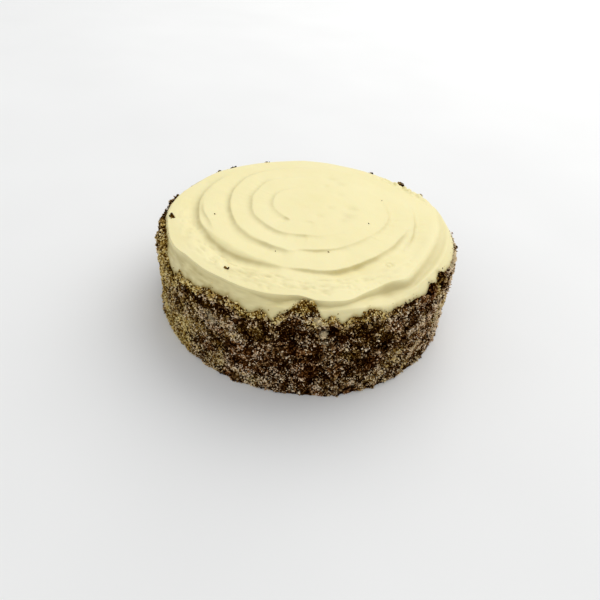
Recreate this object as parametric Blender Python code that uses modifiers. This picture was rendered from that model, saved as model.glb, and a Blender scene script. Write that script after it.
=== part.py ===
"""A round banana cake in metres, +Z up, with its front at -Y and its foot on z = 0.

The cake is iced all over with pale cream. A spatula has swirled the cream on top and left a raised rim,
and the cream rolls over that rim and runs down the side. A coat of dark crumbs is pressed round the side,
up to an uneven line a little below the rim. Heights and widths vary round the cake as on a hand-made one.
"""
import math

import bmesh
import bpy
from mathutils import Matrix, Vector

# Overall sizes, metres
COAT_FOOT_RADIUS = 0.0980      # outer face of the crumb coat, at the foot
COAT_TOP_RADIUS = 0.0968       # the same, near its top edge
CREAM_RADIUS = 0.0938          # side of the cream, under the crumbs
RIM_RADIUS = 0.0885            # crest of the rim, on average
RIM_HEIGHT = 0.0630            # height of that crest above the table, on average
GAP = 0.0003                   # between the cream and the crumb coat
SHOULDER_GAP = 0.0012          # the same, where clumps reach up over the shoulder
FOOT_ROUNDING = 0.0012

# The top isn't level, and it sits a little forward of the foot
FALL_TO_BACK = 0.050           # drop for each metre towards +Y
RISE_TO_RIGHT = 0.030          # rise for each metre towards +X
TOP_SHIFT = Vector((-0.0008, -0.0024))
DOME = 0.0028                  # rise of the middle above the rim

# Spatula swirl: one spiral line, which comes inwards as it turns anticlockwise
SWIRL_CENTRE = Vector((0.0010, 0.0054))
SWIRL_PITCH = 0.0162           # from one turn to the next
SWIRL_START = 0.0647           # radius at which the line crosses +X
SWIRL_STEP = 0.0015            # drop across the line
SWIRL_STEP_VARIATION = 0.35
SWIRL_DEEPEST = 228            # polar angle where the step is deepest
STEP_WIDTH = 0.0040            # the rest of each turn rises gently to the next drop
SWIRL_EYE = 0.012              # radius of the smooth middle
BAND_WIDTH = 0.015             # plain band between the last turn and the rim
BAND_HOLLOW = 0.0006
RIM_LIP = 0.0005
RIM_LIP_WIDTH = 0.005

# Where the rim leaves its mean circle: polar angle, half width in degrees, shift in metres
RIM_SHIFTS = (
    (212, 12, 0.0022), (240, 16, -0.0012), (269, 7, -0.0030), (282, 9, 0.0042), (304, 14, -0.0070),
    (338, 22, 0.0008), (25, 28, 0.0008), (60, 18, -0.0034), (97, 14, 0.0024), (125, 16, -0.0014),
    (157, 14, -0.0026),
)
RIM_REACH = 0.6                # share of the radius outside which the top follows the rim's outline
RIM_LIFTS = (
    (215, 26, 0.0008), (282, 9, 0.0005), (301, 12, -0.0012), (350, 28, 0.0006),
    (60, 20, 0.0007), (105, 24, -0.0008), (150, 20, 0.0004),
)

# The cream below the rim: share of the way out to the side, and drop below the crest
SHOULDER = (
    (0.16, 0.0008), (0.30, 0.0021), (0.48, 0.0033), (0.70, 0.0046), (0.88, 0.0066), (1.00, 0.0100),
)

# Crumb coat: its top edge below the rim's crest, and clumps that stand above that edge
EDGE_DROP = 0.0088
CLUMP_LEAN = 0.60              # a clump leans in this far for each metre that it stands up
EDGE_WAVES = ((3, 40, 0.0007), (7, 200, 0.0010), (13, 75, 0.0007), (23, 10, 0.0005))
CLUMPS = (
    (240, 6, 0.0042), (271, 8, 0.0056), (295, 6, 0.0044), (310, 7, 0.0018), (326, 7, 0.0050),
    (352, 6, 0.0028), (22, 6, 0.0044), (47, 8, 0.0034), (74, 6, 0.0028), (101, 7, 0.0040),
    (128, 6, 0.0032), (149, 8, 0.0028), (176, 6, 0.0038), (199, 6, 0.0024),
)
NOTCHES = ((212, 9, 0.0034), (260, 5, 0.0046), (284, 5, 0.0022), (86, 8, 0.0032), (188, 7, 0.0028))
RELIEF = 0.0008                # lumps and hollows in the coat's outer face
RELIEF_WAVES = ((11, 2.1, 0.0, 0.45), (19, -3.3, 1.9, 0.30), (31, 5.2, 4.1, 0.25))

# Facets
CAKE_STEPS = 96
COAT_STEPS = 108
TOP_RINGS = 26
WALL_ROWS = 4
COAT_ROWS = 4

CREAM_COLOUR = (0.90, 0.80, 0.47, 1)
CRUMB_COLOUR = (0.060, 0.034, 0.015, 1)


def hump(angle, centre, half_width):
    """1 at the centre angle, falling smoothly to 0 at half_width degrees to either side."""
    away = abs((angle - centre + 180) % 360 - 180)
    return math.cos(math.radians(90 * away / half_width)) ** 2 if away < half_width else 0.0


def sum_of_humps(angle, entries):
    return sum(size * hump(angle, centre, half_width) for centre, half_width, size in entries)


def rise(low, high, value):
    """0 below low, 1 above high and a smooth curve between them."""
    share = min(1.0, max(0.0, (value - low) / (high - low)))
    return share * share * (3 - 2 * share)


def polar_angle(x, y):
    return math.degrees(math.atan2(y, x)) % 360


def rim_radius(angle):
    return RIM_RADIUS + sum_of_humps(angle, RIM_SHIFTS)


def lean(x, y):
    return RISE_TO_RIGHT * x - FALL_TO_BACK * y


def crest_height(angle):
    """Height of the rim's crest above the table."""
    radius = rim_radius(angle)
    x = radius * math.cos(math.radians(angle))
    y = radius * math.sin(math.radians(angle))
    return RIM_HEIGHT + lean(x, y) + sum_of_humps(angle, RIM_LIFTS)


def swirl(x, y, inset):
    """Height of the spatula's terraces at a point that lies inset metres inside the rim."""
    across = Vector((x, y)) - SWIRL_CENTRE
    angle = polar_angle(across.x, across.y)
    turns = (across.length - SWIRL_START) / SWIRL_PITCH + angle / 360
    share = turns - math.floor(turns)
    step_share = STEP_WIDTH / SWIRL_PITCH
    if share < step_share:
        level = math.cos(math.pi * share / step_share)
    else:
        level = -math.cos(math.pi * (share - step_share) / (1 - step_share))
    depth = 1 - SWIRL_STEP_VARIATION * (1 - math.cos(math.radians(angle - SWIRL_DEEPEST)))
    fade = rise(SWIRL_EYE / 2, SWIRL_EYE * 1.5, across.length) * rise(0, BAND_WIDTH, inset)
    return SWIRL_STEP / 2 * level * depth * fade


def top_height(x, y, share):
    """Height of the cream's top. share is 0 in the middle and 1 on the rim's crest."""
    angle = polar_angle(x, y)
    inset = rim_radius(angle) - math.hypot(x, y)
    band = math.sin(math.pi * inset / BAND_WIDTH) if inset < BAND_WIDTH else 0.0
    lip = rise(RIM_LIP_WIDTH, 0, inset) - 1
    lift = share * share * sum_of_humps(angle, RIM_LIFTS)
    shape = DOME * (1 - share * share) - BAND_HOLLOW * band + RIM_LIP * lip * rise(0.5, 0.9, share)
    return RIM_HEIGHT + lean(x, y) + lift + shape + swirl(x, y, inset)


def shift_with_height(x, y, level):
    """The foot is centred and the top is shifted; level is 0 at the foot and 1 at the rim."""
    return x + TOP_SHIFT.x * level, y + TOP_SHIFT.y * level


def new_material(name, colour, roughness):
    material = bpy.data.materials.new(name)
    material.use_nodes = True
    shader = material.node_tree.nodes["Principled BSDF"]
    shader.inputs["Base Color"].default_value = colour
    shader.inputs["Roughness"].default_value = roughness
    material.diffuse_color = colour
    return material


def turned_mesh(name, profile, closed, steps, material, collection):
    """Turns a profile of (radius, height) points round Z, and returns the object with a plain mesh."""
    count = len(profile)
    edges = [(i, (i + 1) % count) for i in range(count if closed else count - 1)]
    outline = bpy.data.meshes.new(name + "_profile")
    outline.from_pydata([(radius, 0, height) for radius, height in profile], edges, [])
    guide = bpy.data.objects.new(name + "_profile", outline)
    collection.objects.link(guide)
    screw = guide.modifiers.new("Turn", "SCREW")
    screw.steps = steps
    screw.render_steps = steps
    screw.use_merge_vertices = True
    screw.merge_threshold = 0.00001
    graph = bpy.context.evaluated_depsgraph_get()
    mesh = bpy.data.meshes.new_from_object(guide.evaluated_get(graph))
    bpy.data.objects.remove(guide)
    mesh.name = name
    mesh.materials.clear()
    mesh.materials.append(material)
    turned = bpy.data.objects.new(name, mesh)
    collection.objects.link(turned)
    return turned


def iced_cake(collection):
    """The cream-covered cake: swirled top, rim, shoulder, side and flat foot."""
    top = [(RIM_RADIUS * ring / TOP_RINGS, RIM_HEIGHT) for ring in range(TOP_RINGS + 1)]
    reach = CREAM_RADIUS - RIM_RADIUS
    shoulder = [(RIM_RADIUS + share * reach, RIM_HEIGHT - drop) for share, drop in SHOULDER]
    shoulder_foot = shoulder[-1][1]
    wall = [
        (CREAM_RADIUS, shoulder_foot + (FOOT_ROUNDING - shoulder_foot) * row / WALL_ROWS)
        for row in range(1, WALL_ROWS + 1)
    ]
    foot = [(CREAM_RADIUS - FOOT_ROUNDING, 0), (CREAM_RADIUS / 2, 0), (0, 0)]
    material = new_material("cream", CREAM_COLOUR, 0.5)
    profile = top + shoulder + wall + foot
    cake = turned_mesh("iced_cake", profile, False, CAKE_STEPS, material, collection)
    for vertex in cake.data.vertices:
        radius = math.hypot(vertex.co.x, vertex.co.y)
        angle = polar_angle(vertex.co.x, vertex.co.y)
        level = vertex.co.z / RIM_HEIGHT
        on_top = level > 1 - 1e-6
        share = radius / RIM_RADIUS
        if on_top:
            radius += rise(RIM_REACH, 1, share) * (rim_radius(angle) - RIM_RADIUS)
        elif share > 1:
            way_out = (radius - RIM_RADIUS) / reach
            radius = rim_radius(angle) + way_out * (CREAM_RADIUS - rim_radius(angle))
        x = radius * math.cos(math.radians(angle))
        y = radius * math.sin(math.radians(angle))
        height = top_height(x, y, share) if on_top else level * crest_height(angle)
        vertex.co = (*shift_with_height(x, y, level), height)
    return cake


def coat_relief(angle, height):
    """Between -1 and 1: the lumps of the crumb coat's outer face."""
    turn = math.radians(angle)
    climb = height / RIM_HEIGHT
    return sum(
        share * math.sin(count * turn + slant * math.tau * climb + phase)
        for count, slant, phase, share in RELIEF_WAVES
    )


def coat_edge(angle):
    """Height of the crumb coat's top edge above the table."""
    turn = math.radians(angle)
    waves = sum(size * math.sin(count * turn + math.radians(phase)) for count, phase, size in EDGE_WAVES)
    uneven = waves + sum_of_humps(angle, CLUMPS) - sum_of_humps(angle, NOTCHES)
    return crest_height(angle) - EDGE_DROP + uneven


def cream_side(angle, height):
    """Radius of the cream's side or shoulder at a height above the table."""
    crest = crest_height(angle)
    drop = (crest - height) * RIM_HEIGHT / crest
    inner = 0.0
    above = 0.0
    for share, below in SHOULDER:
        if drop < below:
            inner += (share - inner) * (drop - above) / (below - above)
            break
        inner = share
        above = below
    return rim_radius(angle) + inner * (CREAM_RADIUS - rim_radius(angle))


def crumb_coat(collection):
    """The ring of crumbs round the side, out to its uneven outline."""
    thickness = COAT_TOP_RADIUS - CREAM_RADIUS
    # Profile rows as (share of the thickness, share of the edge's height)
    top = [(0.0, 0.985), (0.4, 1.0), (0.8, 0.985)]
    outer = [(1.0, 0.94 * (1 - row / COAT_ROWS)) for row in range(COAT_ROWS)]
    foot = [(1.0, 0.02), (0.85, 0.0)]
    inside = [(0.0, 0.0), (0.0, 0.84), (0.0, 0.90), (0.0, 0.95)]
    rows = top + outer + foot + inside
    profile = [(CREAM_RADIUS + out * thickness, up * RIM_HEIGHT) for out, up in rows]
    material = new_material("crumbs", CRUMB_COLOUR, 0.9)
    coat = turned_mesh("crumb_coat", profile, True, COAT_STEPS, material, collection)
    for vertex in coat.data.vertices:
        out = (math.hypot(vertex.co.x, vertex.co.y) - CREAM_RADIUS) / thickness
        up = vertex.co.z / RIM_HEIGHT
        angle = polar_angle(vertex.co.x, vertex.co.y)
        height = up * coat_edge(angle)
        crest = crest_height(angle)
        level = height / crest
        on_shoulder = crest - height < SHOULDER[-1][1]
        inner = cream_side(angle, height) + (SHOULDER_GAP if on_shoulder else GAP)
        face = COAT_FOOT_RADIUS + level * (COAT_TOP_RADIUS - COAT_FOOT_RADIUS)
        face += RELIEF * coat_relief(angle, height)
        face -= CLUMP_LEAN * max(0.0, height - (crest - EDGE_DROP))
        radius = inner + out * (face - inner)
        x = radius * math.cos(math.radians(angle))
        y = radius * math.sin(math.radians(angle))
        vertex.co = (*shift_with_height(x, y, level), height)
    return coat


def centre_on_origin(pieces):
    """Moves the meshes so that the middle of the whole cake's box is over the origin."""
    points = [vertex.co for piece in pieces for vertex in piece.data.vertices]
    middle_x = (min(point.x for point in points) + max(point.x for point in points)) / 2
    middle_y = (min(point.y for point in points) + max(point.y for point in points)) / 2
    for piece in pieces:
        piece.data.transform(Matrix.Translation((-middle_x, -middle_y, 0)))


def finish_mesh(piece):
    """Faces point outwards, and are shaded smooth except over sharp edges."""
    faces = bmesh.new()
    faces.from_mesh(piece.data)
    bmesh.ops.recalc_face_normals(faces, faces=faces.faces)
    faces.to_mesh(piece.data)
    faces.free()
    piece.data.shade_smooth()
    piece.data.set_sharp_from_angle(angle=math.radians(50))


def main():
    for old in list(bpy.data.objects):
        bpy.data.objects.remove(old)
    collection = bpy.data.collections.new("banana_cake")
    bpy.context.scene.collection.children.link(collection)
    pieces = [iced_cake(collection), crumb_coat(collection)]
    centre_on_origin(pieces)
    for piece in pieces:
        finish_mesh(piece)


main()
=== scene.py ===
"""Looks of a round banana cake: swirled cream on top and a coat of dark crumbs round its side.

Metres, +Z up, with the cake's front at -Y. Lengths in the tables are in millimetres, and angles in degrees
from +X about the middle of the top, unless a comment says otherwise.
"""
import math

import bpy
import numpy as np
from mathutils import Matrix, Vector


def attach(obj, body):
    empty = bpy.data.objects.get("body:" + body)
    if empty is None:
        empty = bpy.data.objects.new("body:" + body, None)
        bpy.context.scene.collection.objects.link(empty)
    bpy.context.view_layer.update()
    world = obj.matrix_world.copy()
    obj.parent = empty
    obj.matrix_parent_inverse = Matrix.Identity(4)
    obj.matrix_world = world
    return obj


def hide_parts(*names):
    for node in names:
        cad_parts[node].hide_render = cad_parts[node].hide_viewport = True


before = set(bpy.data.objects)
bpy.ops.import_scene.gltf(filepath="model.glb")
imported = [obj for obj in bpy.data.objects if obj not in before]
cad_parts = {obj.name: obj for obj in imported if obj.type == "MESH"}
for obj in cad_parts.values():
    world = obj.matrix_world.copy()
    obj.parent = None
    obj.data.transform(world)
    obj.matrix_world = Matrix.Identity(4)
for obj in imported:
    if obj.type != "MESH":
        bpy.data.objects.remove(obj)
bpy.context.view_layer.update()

MM = 0.001

FOOT_CENTRE = np.array([0.04, 0.71])  # middle of the foot, from the origin
TOP_SHIFT = np.array([-0.8, -2.4])  # the middle of the top, from the middle of the foot
RIM_HEIGHT = 63.0
RIM_RADIUS = 88.5
CREAM_SIDE = 93.8  # radius of the cream's side
FALL_TO_BACK = 0.05  # slopes of the top
RISE_TO_RIGHT = 0.03
DOME = 2.8  # how far the middle of the top stands above the rim
COAT_FOOT = 96.7  # mean radius of the crumbs' face at the foot
COAT_TOP = 95.2  # and at the height COAT_HEIGHT
COAT_HEIGHT = 58
# Where the rim stands higher or lower than those slopes give: angle, half width, lift
LIFTS = (
    (215, 26, 0.8), (282, 9, 0.5), (301, 12, -1.2), (350, 28, 0.6), (60, 20, 0.7), (105, 24, -0.8),
    (150, 20, 0.4),
)

# The cream's shoulder. The edge of the top: angle, radius
EDGE = (
    (6, 83.4), (12, 85.4), (20, 88.6), (30, 89.2), (42, 87.2), (60, 85.2), (78, 87.2), (97, 90.8),
    (111, 88.8), (125, 87.2), (141, 88), (157, 86), (171, 88.2), (182, 88.8), (200, 88.9), (207, 89.6),
    (214, 90), (218, 89.2), (221, 88), (226, 87.8), (233, 87.8), (240, 87.2), (250, 88), (258, 88),
    (262, 87.4), (266, 86.3), (269.5, 85.6), (272, 86.3), (274, 87.8), (276, 88.8), (280, 89.8), (284, 90),
    (287, 89.2), (290, 87.3), (293, 85.2), (296, 83.6), (300, 82), (304, 81), (307, 81.2), (309.5, 82.3),
    (311.5, 83.4), (313.5, 83.6), (316, 82.9), (319, 81.5), (325, 79.9), (333, 78.9), (341, 78.9),
    (349, 79.6), (357, 81.4), (360, 82.2),
)
# The step straight below that edge: angle, drop
STEP = (
    (0, 1.2), (15, 0.7), (25, 0.8), (180, 0.8), (200, 0.9), (212, 0.9), (218, 1.1), (222, 1.7), (240, 1.7),
    (252, 1.8), (258, 3.2), (262, 4.6), (265, 3.8), (268, 2.8), (272, 2.4), (275, 3.4), (279, 3.4),
    (284, 2.8), (288, 2.4), (293, 3), (297, 3.2), (300, 3.6), (304, 4.2), (308, 4.1), (311, 3.8), (314, 3.3),
    (318, 2.9), (325, 2.5), (334, 2.2), (341, 1.9), (350, 1.5),
)
# and angle, width
STEP_WIDTH = (
    (0, 4), (12, 3), (22, 0.9), (180, 0.9), (200, 0.6), (212, 0.5), (221, 0.4), (240, 0.5), (256, 0.8),
    (262, 0.9), (268, 0.7), (275, 0.7), (284, 0.7), (290, 0.7), (293, 0.9), (297, 1.4), (300, 2.2), (304, 3),
    (308, 3.1), (311, 3.1), (315, 3.5), (320, 4.2), (326, 4.7), (350, 4.6),
)
# The apron outside the step: angle, drop at its lip
LIP_DROP = (
    (0, 3.2), (20, 3.8), (30, 4.2), (180, 4.2), (205, 4.2), (214, 4.4), (224, 5), (240, 5.2), (252, 5.4),
    (262, 5.6), (266, 4.3), (272, 3.3), (277, 3.8), (284, 3.3), (290, 3), (296, 3.7), (304, 4.8), (308, 4.7),
    (311, 4.4), (315, 3.8), (322, 3.4), (335, 3.1), (350, 3.1),
)
# the bead that it rises to on the right: angle, height
BEAD = (
    (0, 1.3), (16, 0.7), (26, 0), (292, 0), (302, 0.1), (308, 0.3), (313, 0.8), (319, 1.5), (326, 1.9),
    (335, 1.9), (350, 1.6),
)
# and how far its lip bulges beyond the cream's side: angle, distance
LIP_OUT = ((0, 0), (262, 0.3), (267, 1.2), (277, 1.6), (288, 1.5), (296, 1.1), (310, 0.6), (325, 0))
# How strongly the spatula streaked the apron, and how much shade is painted on it, most on the left: angle,
# strength
APRON = (
    (180, 2.4), (205, 3), (235, 2.4), (262, 1), (275, 0.5), (290, 0.7), (305, 0.5), (325, 0.2), (350, 0.2),
    (90, 0.5),
)

# Strokes of the spatula in the top. Each is a scale for its depths and a line of knots about the swirl's
# centre: turned angle, which goes on past 360, radius, depth, and how far its steep side reaches inwards and
# outwards, left out where that is as at the knot before
SWIRL_CENTRE = np.array([1.0, 5.4])
STROKES = (
    # the outermost turn, on the left and in front
    (1.6, (
        (142, 76.2, 0, 1.2, 2), (152, 75.3, 0.5), (170, 74.2, 0.8), (182, 73.6, 1.3), (190, 72.7, 1.5),
        (204, 72.7, 1.5, 1.2, 1.8), (210, 71.9, 1.4, 1.6, 1.8), (216, 72.5, 1.5, 3.8, 1.8),
        (226, 72.2, 2.1, 5.6, 2), (235, 71.4, 2.2, 5.4, 2.2), (245, 69.9, 1.9, 4, 2.2),
        (252, 69.3, 1.4, 3, 1.6), (257, 69.4, 0.6, 2, 1.2), (260, 69.3, 0.15, 1.5, 1), (263, 69, 0.2, 1, 0.8),
        (267, 68.4, 0.6, 0.9, 0.6), (271, 67.9, 0.8), (276, 69.3, 0.85, 1.1, 0.7), (281, 69.8, 1),
        (285, 69.1, 1.4, 0.9, 0.7), (290, 67.4, 1.7, 0.8, 0.7), (296, 65.3, 1.8), (302, 64.3, 1.5, 0.8, 0.8),
        (308, 63.6, 1.3, 0.8, 1.2), (315, 62.4, 1.1, 0.9, 2.2), (325, 61.9, 1.2, 0.8, 2.4),
        (334, 61.3, 1.2, 0.8, 2), (342, 62.1, 0.7, 0.8, 1.6), (350, 63.8, 0.25, 1, 1.6), (357, 66, 0),
    )),
    # its inner companion on the left
    (1.3, (
        (176, 71.8, 0, 0.8, 1.3), (185, 70.4, 0.5), (191, 69.4, 0.75), (196, 67.9, 0.75),
        (201, 66.8, 0.55, 0.7, 1.3), (207, 67, 0.4, 0.8, 1.5), (214, 68, 0),
    )),
    # from the right and round the back into the second turn
    (1.05, (
        (325, 68.6, 0, 1, 1.6), (334, 67.5, 1.1, 0.9, 1.6), (343, 66.9, 1.8, 0.8, 1.4), (353, 66.6, 1.8),
        (362, 66.9, 1.1, 0.9, 1.6), (372, 68.2, 0.4, 1.2, 2), (384, 69.8, 0.2, 1.4, 2),
        (420, 70.5, 0.15, 1.5, 2), (465, 69.2, 0.25, 1.4, 2), (480, 68, 0.5), (490, 66.5, 0.7, 1.3, 1.8),
        (500, 64.2, 0.9, 1.2, 1.7), (510, 60.4, 1, 1.1, 1.6), (520, 57.8, 1.2, 1, 1.6),
        (530, 55.5, 1.3, 0.9, 1.6), (540, 53.5, 1.4, 0.9, 1.5), (550, 52.4, 1.6, 0.9, 1.4), (560, 51.9, 1.6),
        (568, 52.3, 1.4, 1, 1.6), (578, 53.1, 1.3, 2.2, 2), (590, 53, 1.3, 2.4, 2.2),
        (600, 52.4, 1.6, 1.6, 1.6), (606, 52.4, 1.6, 1.4, 1.6), (615, 52.6, 1.2, 1.6, 1.8), (621, 53.2, 0.2),
        (623, 49.8, 0.2, 1, 0.8), (627, 49.1, 0.6, 0.9, 0.7), (633, 48.7, 0.9, 0.8, 0.6),
        (642, 48.9, 1, 0.8, 0.5), (648, 48.1, 0.7, 0.8, 0.7), (653, 47.3, 0.7, 0.9, 0.9),
        (660, 46.7, 0.5, 1, 1.5), (668, 46.5, 0.8, 1, 1.6), (680, 45.7, 0.8), (686, 46.4, 0.4),
        (700, 47.8, 1), (710, 49.1, 1.1), (722, 50.3, 1, 1.1, 1.6), (738, 51.5, 0.8, 1, 1.6),
        (746, 52.7, 0.6, 0.8, 1.2), (752, 54, 0),
    )),
    # the third turn
    (0.92, (
        (800, 51.6, 0, 1.6, 2), (825, 51.3, 0.3), (845, 51.2, 0.35, 1.4, 2), (853, 50.2, 0.8, 1, 1.6),
        (858, 48, 1, 0.9, 1.5), (865, 45.6, 1), (873, 43.7, 1, 0.9, 1.6), (883, 42.4, 0.9, 1, 1.8),
        (892, 40.4, 1.1, 0.9, 1.6), (902, 39.1, 1.2, 0.9, 1.5), (918, 38.5, 1.2, 1, 1.6),
        (932, 37.4, 1.1, 1.2, 1.8), (942, 36.8, 1.4, 1.2, 1.6), (955, 36.8, 1.4, 1.3, 1.6),
        (965, 36.4, 1.1, 1.4, 1.8), (972, 35.1, 0.6), (979, 33.9, 1.1, 1, 1.4), (986, 32.9, 1.3, 0.8, 1.2),
        (989, 32.8, 0.5), (998, 33.5, 0.5, 1, 1.6), (1010, 33, 0.2, 1.2, 1.8), (1040, 32.5, 0),
    )),
    # the innermost turn
    (1.05, (
        (1180, 32.8, 0, 1.4, 1.6), (1200, 32.2, 0.3, 1.3, 1.6), (1222, 31, 0.6, 1, 1.5),
        (1232, 29.3, 0.8, 0.9, 1.4), (1242, 27.5, 0.8), (1255, 26.2, 0.7, 1, 1.6),
        (1270, 24.2, 0.5, 1.1, 1.8), (1285, 22.4, 0.5, 1.2, 1.8), (1298, 21.5, 0.6, 1, 1.6),
        (1304, 20.8, 1.1, 0.8, 1.2), (1309, 20.6, 0.8), (1314, 21, 0),
    )),
    (1.2, (
        (252, 17.6, 0, 0.9, 1), (262, 17, 0.2), (271, 16.8, 0.3), (280, 17, 0),
    )),
)
RUN_OUT = 2.2  # a stroke's fall eases off over its outer reach times this
CLIMB = 12.0  # and then its gentle side climbs back over this distance
SWELL = 9.0  # the cream swells over this distance before a stroke,
SWELL_SHARE = 0.15  # by this share of its depth
# Broad, soft dents in the top: angle and radius about the swirl's centre, half width, depth
DENTS = (
    (374, 26.6, 5, 0.8), (347, 23.2, 5.4, 0.9), (330, 22.5, 4.4, 0.5), (79, 38.5, 3, 0.4),
    (68, 46.5, 4.6, 0.6), (78, 52.5, 4.8, 0.6), (55, 31, 4, 0.35), (300, 9.5, 3.6, 0.4), (20, 12, 3.6, 0.4),
    (192, 77.2, 3.4, 0.5), (199, 76.6, 3, 0.4), (158, 80.5, 4.5, 0.5), (213, 38.5, 3.5, 0.2),
    (305, 33.5, 3.5, 0.15),
)
RING_MARK = (314.6, 68.8, 1.9)  # a small ring pressed into the cream: angle, radius, own radius

# The crumbs' top edge: angle, distance down the shoulder from the start of its profile
LINE = (
    (0, 15.5), (8, 15), (16, 14), (24, 12), (29, 9.5), (31.7, 8), (33.7, 3.5), (35.8, 7.5), (39, 8.5),
    (43, 8), (45.2, 3.5), (47.4, 7.5), (54, 9), (76, 9.5), (90, 9), (94.8, 8), (97, 2.8), (99.3, 7), (105, 9),
    (111.6, 8.5), (114, 3.5), (116.3, 8), (124, 9), (129.2, 8.5), (131.4, 3.2), (133.6, 7.5), (137, 7.5),
    (139.1, 3), (141.3, 9), (148, 12), (158, 13), (165, 12), (168.5, 5.8), (170.5, 9.5), (172.7, 5.2),
    (175.2, 12), (177.6, 12), (179.8, 6.2), (182, 10.5), (184.8, 4.8), (188, 7), (192, 4.4), (196, 3.4),
    (204, 3.5), (208, 5.5), (212, 10.5), (215, 15), (217.5, 17.5), (220, 15.5), (222, 13.5), (224, 12.2),
    (226.5, 13.5), (229, 12.3), (233, 13.2), (235.5, 10.6), (237.5, 9), (240, 10), (243, 10.4), (246, 8.6),
    (248, 9.8), (250, 10.6), (252.5, 13), (255.5, 13.2), (257, 11.2), (259.6, 10.6), (260.6, 14.4),
    (261.7, 17.8), (263, 15), (264, 13), (266, 12.4), (267.5, 9.8), (270, 5.6), (271.5, 3.6), (274, 2.9),
    (275.2, 4.4), (276.5, 7.6), (277.5, 10.8), (279, 13.6), (280, 11), (282, 10.4), (283.2, 13.5),
    (284.5, 16.6), (286, 12.4), (288.5, 11.4), (290, 14.2), (292, 11.8), (294, 11.4), (297, 14.4),
    (299.5, 17.2), (302, 17.2), (305, 15.8), (307.5, 16.2), (310, 15.2), (313, 14), (317, 17.2),
    (318.6, 17.6), (319.6, 14), (322.4, 13.4), (323.8, 16.6), (326, 17.4), (327.2, 13.8), (330, 13.8),
    (331.6, 17), (338, 18.5), (345, 18), (352, 16.5),
)
# Where crumbs heap up just below that edge, and at the foot: angle, half width, how far they stand out
EDGE_CLUMPS = (
    (197, 4, 1.2), (204, 4, 1.2), (241.5, 3, 1.2), (247, 2.4, 0.9), (252, 1.6, 0.7), (269, 3, 1.5),
    (273.5, 2.6, 1.6), (283.6, 1.8, 1), (291.6, 2.2, 1.3), (298, 2.4, 1), (303, 2.6, 1.3), (307.5, 2.2, 0.8),
    (321, 2.6, 2.2), (328.5, 2.6, 2.2), (34, 3, 1.1), (45, 3, 1.1), (97, 3, 1.2), (114, 3, 1), (131, 3, 1),
    (139, 3, 1), (169, 2, 0.5), (179, 2, 0.5),
)
FOOT_CLUMPS = (
    (203, 4, 0.9), (250, 1.3, 1.6), (286.5, 1.8, 2), (282, 1.6, 1.1), (300, 1.5, 1.3), (338, 1.3, 1.2),
)
# Patches of the coat: angle, height, half width, half height, share. First where the crumbs are golden and
# rusty, then where they are darkest and palest, and where cream is smeared over them. The broad pale patches
# on the left and the right are painted light
GOLDEN = (
    (208, 30, 42, 60, 0.8), (224, 16, 20, 20, 0.7), (250, 6, 20, 8, 0.2), (332, 30, 26, 30, 0.2),
    (304, 42, 8, 8, 0.3), (60, 30, 40, 60, 0.4), (135, 30, 40, 60, 0.6), (300, 12, 14, 10, 0.35),
    (274, 57, 4, 5, 0.6),
)
RUSTY = (
    (253, 22, 7, 13, 1), (236, 20, 8, 10, 0.5), (318, 55, 6, 8, 0.9), (277, 24, 10, 10, 0.4),
    (298, 26, 8, 12, 0.4),
)
DARK = (
    (263, 47, 5, 6, 0.9), (268.5, 40, 5, 8, 1), (281.5, 50, 5, 7, 1), (257, 40, 6, 6, 0.8),
    (236, 48, 9, 5, 0.7), (291, 50, 7, 8, 0.8), (303, 40, 8, 9, 0.7), (312, 32, 6, 8, 0.6),
    (321, 61, 4, 8, 1), (328.5, 61, 4, 8, 1), (216, 50, 8, 5, 0.6), (275, 32, 8, 5, 0.6),
    (290, 30, 6, 5, 0.5), (282, 14, 8, 5, 0.5), (243, 20, 6, 5, 0.4),
)
PALE = (
    (222, 18, 24, 22, 0.35), (250, 8, 22, 12, 0.1), (320, 24, 18, 26, 0.65), (342, 36, 12, 40, 0.65),
    (215, 40, 10, 10, 0.25), (266, 24, 5, 4, 0.4), (286, 36, 4, 4, 0.4), (253, 23, 8, 11, 0.6),
)
SMEARS = (
    (277, 57, 2.4, 6, 0.7), (279, 49, 2.2, 4, 0.6), (271, 53, 2.5, 3, 0.4), (273.5, 40, 2, 2.5, 0.45),
    (279.5, 41, 3, 3, 0.5), (260, 56, 1.2, 5, 0.6), (238.5, 41, 4, 5, 0.5), (245, 42, 4, 4, 0.5),
    (340, 14, 8, 14, 0.6), (346, 58, 12, 18, 1), (3, 60, 16, 18, 1), (225, 20, 9, 8, 0.35),
    (206, 40, 12, 10, 0.3), (90, 40, 8, 6, 0.35), (150, 30, 8, 8, 0.35),
)
# Single crumbs on the cream: angle, radius, the crumb's own radius
STRAYS = (
    (190.8, 86.2, 1.3), (191.9, 85.9, 1.1), (189.5, 86.9, 1), (190.9, 87.3, 0.8), (192.5, 86.8, 0.6),
    (238, 79.4, 0.8), (238.9, 78.8, 0.7), (237.6, 78.9, 0.5), (190, 60.2, 0.5), (350, 38.3, 0.4),
    (287.5, 44.9, 0.4), (249.9, 49.4, 0.35), (31.2, 55.9, 0.35),
)

SEGMENTS = 640  # points round the cream
TOP_RINGS = 126
THINNED = (5, 16), (10, 8), (20, 4), (42, 2)  # within this radius a ring has only one point in so many
COAT_SEGMENTS = 800  # points round the coat
COAT_ROWS = 76
EDGE_INSET = 0.9  # the shoulder's profile starts this far inside the top's edge
CRUMB_LINE_SHADE = 4.2  # how dark the painted shade on the cream is just above the crumb line,
CRUMB_LINE_SHADE_REACH = 1.9  # and how far up
BURIED = 2.5  # the coat's inner face lies this deep in the cream
CRUMB_SHAPES = 14  # different shapes of crumb in one piece
CLEARANCE = 0.00005  # no crumb reaches lower than this, in metres
random = np.random.default_rng(7)
PITS = random.uniform(0, 1, (60, 4))  # small pits left by bubbles: place, radius, size, depth


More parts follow.
